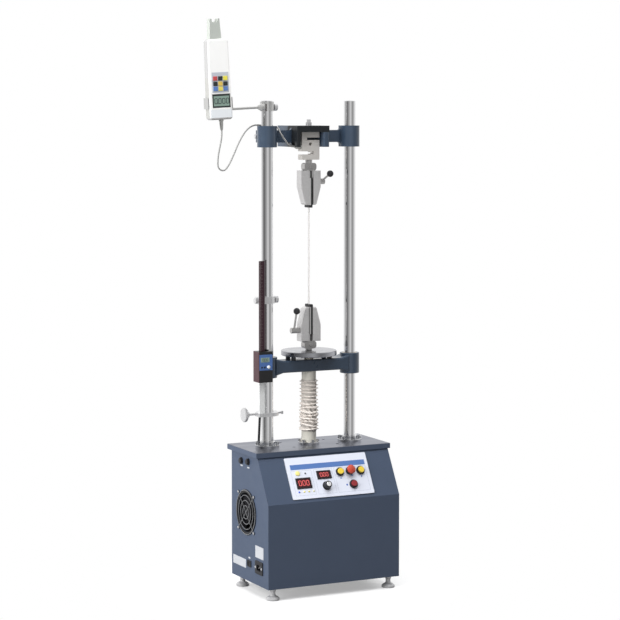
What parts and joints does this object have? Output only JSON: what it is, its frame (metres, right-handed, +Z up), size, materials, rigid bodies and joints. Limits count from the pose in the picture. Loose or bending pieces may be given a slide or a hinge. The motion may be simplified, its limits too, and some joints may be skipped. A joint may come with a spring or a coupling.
{
  "type": "universal testing machine",
  "caption": "Two-column tension and compression tester: cabinet with sloping panel, fixed beam with load cell and grip, screw-driven crosshead with platen and grip.",
  "frame": {"origin": "on the floor under the load axis, midway between the two columns", "axes": "+Z up, +X to the operator's right, -Y towards the operator at the sloping panel"},
  "size_m": [0.5487, 0.267, 1.6377],
  "materials": {
    "slate_paint": "fine satin powder coat",
    "slate_cast": "painted casting, satin",
    "black_paint": "satin black",
    "plate_chrome": "polished",
    "column_chrome": "ground and hard chromed",
    "bright_steel": "bright plated",
    "satin_steel": "satin",
    "jaw_steel": "hardened, dark",
    "nickel": "warm satin nickel",
    "dull_metal": "dull",
    "bushing": "turned",
    "brass_seat": "turned",
    "panel_print": "printed film on sheet",
    "black_plastic": "moulded",
    "white_plastic": "moulded",
    "grey_plastic": "moulded",
    "cream_plastic": "moulded",
    "yellow_plastic": "moulded",
    "red_plastic": "moulded",
    "lamp_lens": "clear moulded",
    "scale_anodised": "anodised and printed",
    "cable_skin": "smooth sheath",
    "belt_rubber": "smooth",
    "bellows_skin": "coated cloth"
  },
  "bodies": {
    "frame": {"cabinet_shell": "slate_paint", "rear_cover": "slate_paint", "base_pan": "slate_paint", "top_plate": "plate_chrome", "levelling_feet": "plate_chrome", "control_panel": "panel_print", "panel_displays": "black_plastic", "button_collars": "bright_steel", "indicator_lamps": "lamp_lens", "fan_housing": "black_plastic", "fan_guard": "black_paint", "side_connectors": "black_plastic", "columns": "column_chrome", "column_flanges": "bright_steel", "upper_beam": "slate_cast", "beam_fixings": "bright_steel", "cell_carrier": "black_paint", "load_cell": "nickel", "cable_glands": "dull_metal", "sensor_cable": "cable_skin", "upper_adapter": "bright_steel", "upper_grip_body": "satin_steel", "screw_bearing": "slate_cast", "drive_motor": "black_paint", "drive_belt": "belt_rubber", "bellows": "bellows_skin", "bellows_base": "cream_plastic", "scale_bar": "scale_anodised", "scale_collar": "bright_steel", "travel_stop": "bright_steel", "stop_lead": "belt_rubber", "gauge_body": "white_plastic", "gauge_head": "grey_plastic", "gauge_face": "grey_plastic", "gauge_arm": "bright_steel"},
    "crosshead_group": {"crosshead": "slate_cast", "crosshead_bushes": "bushing", "platen": "plate_chrome", "platen_fixings": "brass_seat", "lower_adapter": "bright_steel", "lower_grip_body": "satin_steel", "ball_screw": "bright_steel", "bellows_top_collar": "cream_plastic", "scale_slider": "scale_anodised"},
    "nut": {"nut_pulley": "bright_steel"},
    "motor_wheel": {"motor_pulley": "bright_steel"},
    "impeller": {"fan_impeller": "black_plastic"},
    "knob": {"speed_knob": "black_plastic"},
    "up_cap": {"up_button": "yellow_plastic"},
    "down_cap": {"down_button": "yellow_plastic"},
    "stop_cap": {"stop_button": "red_plastic"},
    "mushroom": {"emergency_stop": "red_plastic"},
    "key": {"mode_key": "yellow_plastic"},
    "rocker": {"power_rocker": "black_plastic"},
    "upper_lever_arm": {"upper_lever": "satin_steel"},
    "upper_jaw_plate": {"upper_jaw": "jaw_steel"},
    "lower_lever_arm": {"lower_lever": "satin_steel"},
    "lower_jaw_plate": {"lower_jaw": "jaw_steel"},
    "wheel": {"stop_wheel": "bright_steel"},
    "thumb_knob": {"arm_knob": "bright_steel"}
  },
  "joints": [
    {"name": "crosshead_slide", "type": "slide", "parent": "frame", "child": "crosshead_group", "axis": [0, 0, 1], "range_m": [-0.085, 0.13], "deforming": ["bellows"]},
    {"name": "nut_spin", "type": "hinge", "parent": "frame", "child": "nut", "pos_m": [0, 0, 0.35], "axis": [0, 0, 1], "range_deg": [-3100, 4700]},
    {"name": "motor_spin", "type": "hinge", "parent": "frame", "child": "motor_wheel", "pos_m": [0.112, 0, 0.33], "axis": [0, 0, 1], "range_deg": [-6200, 9400]},
    {"name": "fan_spin", "type": "hinge", "parent": "frame", "child": "impeller", "pos_m": [-0.195, -0.02, 0.231], "axis": [1, 0, 0], "continuous": true},
    {"name": "knob_turn", "type": "hinge", "parent": "frame", "child": "knob", "pos_m": [-0.016, -0.1481, 0.31274], "axis": [0, -0.866, 0.5], "range_deg": [-150, 150]},
    {"name": "up_press", "type": "slide", "parent": "frame", "child": "up_cap", "axis": [0, 0.866, -0.5], "range_m": [0, 0.003], "stiffness_N_per_m": 300, "springref_m": -0.004},
    {"name": "down_press", "type": "slide", "parent": "frame", "child": "down_cap", "axis": [0, 0.866, -0.5], "range_m": [0, 0.003], "stiffness_N_per_m": 300, "springref_m": -0.004},
    {"name": "stop_press", "type": "slide", "parent": "frame", "child": "stop_cap", "axis": [0, 0.866, -0.5], "range_m": [0, 0.003], "stiffness_N_per_m": 300, "springref_m": -0.004},
    {"name": "emergency_press", "type": "slide", "parent": "frame", "child": "mushroom", "axis": [0, 0.866, -0.5], "range_m": [0, 0.003]},
    {"name": "mode_press", "type": "slide", "parent": "frame", "child": "key", "axis": [0, 0.866, -0.5], "range_m": [0, 0.001], "stiffness_N_per_m": 300, "springref_m": -0.004},
    {"name": "rocker_tilt", "type": "hinge", "parent": "frame", "child": "rocker", "pos_m": [-0.207, -0.04, 0.086], "axis": [0, 0, -1], "range_deg": [0, 22]},
    {"name": "upper_lever_turn", "type": "hinge", "parent": "frame", "child": "upper_lever_arm", "pos_m": [0.041, 0, 1.175], "axis": [1, 0, 0], "range_deg": [-150, 0]},
    {"name": "upper_jaw_slide", "type": "slide", "parent": "frame", "child": "upper_jaw_plate", "axis": [1, 0, 0], "range_m": [0, 0.0025]},
    {"name": "lower_lever_turn", "type": "hinge", "parent": "crosshead_group", "child": "lower_lever_arm", "pos_m": [-0.041, 0, 0.745], "axis": [1, 0, 0], "range_deg": [-150, 0]},
    {"name": "lower_jaw_slide", "type": "slide", "parent": "crosshead_group", "child": "lower_jaw_plate", "axis": [-1, 0, 0], "range_m": [0, 0.0025]},
    {"name": "wheel_turn", "type": "hinge", "parent": "frame", "child": "wheel", "pos_m": [-0.2055, 0, 0.509], "axis": [1, 0, 0], "range_deg": [-180, 180]},
    {"name": "thumb_knob_turn", "type": "hinge", "parent": "frame", "child": "thumb_knob", "pos_m": [-0.108, 0, 1.3895], "axis": [1, 0, 0], "range_deg": [-180, 180]}
  ],
  "couplings": [
    {"joint": "nut_spin", "follows": "crosshead_slide", "rad_per_m": 628.32},
    {"joint": "motor_spin", "follows": "crosshead_slide", "rad_per_m": 1256.6},
    {"joint": "upper_jaw_slide", "follows": "upper_lever_turn", "m_per_rad": -0.00095493},
    {"joint": "lower_jaw_slide", "follows": "lower_lever_turn", "m_per_rad": -0.00095493}
  ]
}
